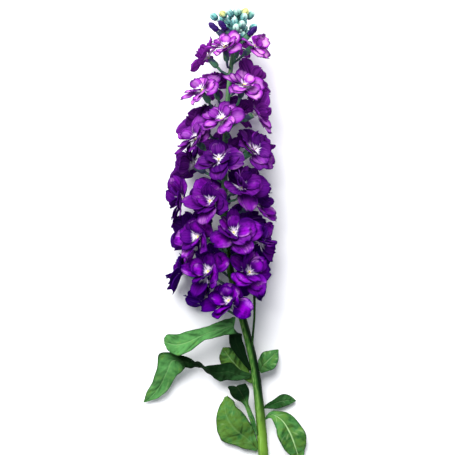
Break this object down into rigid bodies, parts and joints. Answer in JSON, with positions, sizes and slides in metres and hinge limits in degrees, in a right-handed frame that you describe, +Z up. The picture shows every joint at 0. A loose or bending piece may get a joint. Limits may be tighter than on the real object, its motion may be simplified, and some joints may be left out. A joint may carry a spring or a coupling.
{
  "type": "stock flower spike",
  "caption": "Cut spike of garden stock lying on its side: a dense spike of purple ruffled florets with a budded tip, a bare green stem and wavy strap-shaped leaves.",
  "frame": {"origin": "on the surface that the spike lies on, under the middle of its bounding box", "axes": "+Y along the spike from the cut end to the budded tip, +Z up from the surface, +X to the right as seen from above with the tip pointing up"},
  "size_m": [0.1278, 0.358, 0.075],
  "materials": {
    "stem": "satin",
    "floret": "satin",
    "bud": "satin",
    "leaf": "matte"
  },
  "bodies": {
    "root": {"stem": "stem", "floret_01": "floret", "floret_02": "floret", "floret_03": "floret", "floret_04": "floret", "floret_05": "floret", "floret_06": "floret", "floret_07": "floret", "floret_08": "floret", "floret_09": "floret", "floret_10": "floret", "floret_11": "floret", "floret_12": "floret", "floret_13": "floret", "floret_14": "floret", "floret_15": "floret", "floret_16": "floret", "floret_17": "floret", "floret_18": "floret", "floret_19": "floret", "floret_20": "floret", "floret_21": "floret", "floret_22": "floret", "floret_23": "floret", "floret_24": "floret", "floret_25": "floret", "floret_26": "floret", "floret_27": "floret", "floret_28": "floret", "floret_29": "floret", "floret_30": "floret", "floret_31": "floret", "floret_32": "floret", "floret_33": "floret", "floret_34": "floret", "floret_35": "floret", "floret_36": "floret", "purple_bud_1": "bud", "purple_bud_2": "bud", "purple_bud_3": "bud", "purple_bud_4": "bud", "leaf_long_left": "leaf", "leaf_twisted_left": "leaf", "leaf_short_left": "leaf", "leaf_short_right": "leaf", "leaf_broad_low": "leaf", "leaf_side_shoot": "leaf", "leaf_arching_right": "leaf", "leaf_low_right": "leaf"}
  },
  "joints": []
}
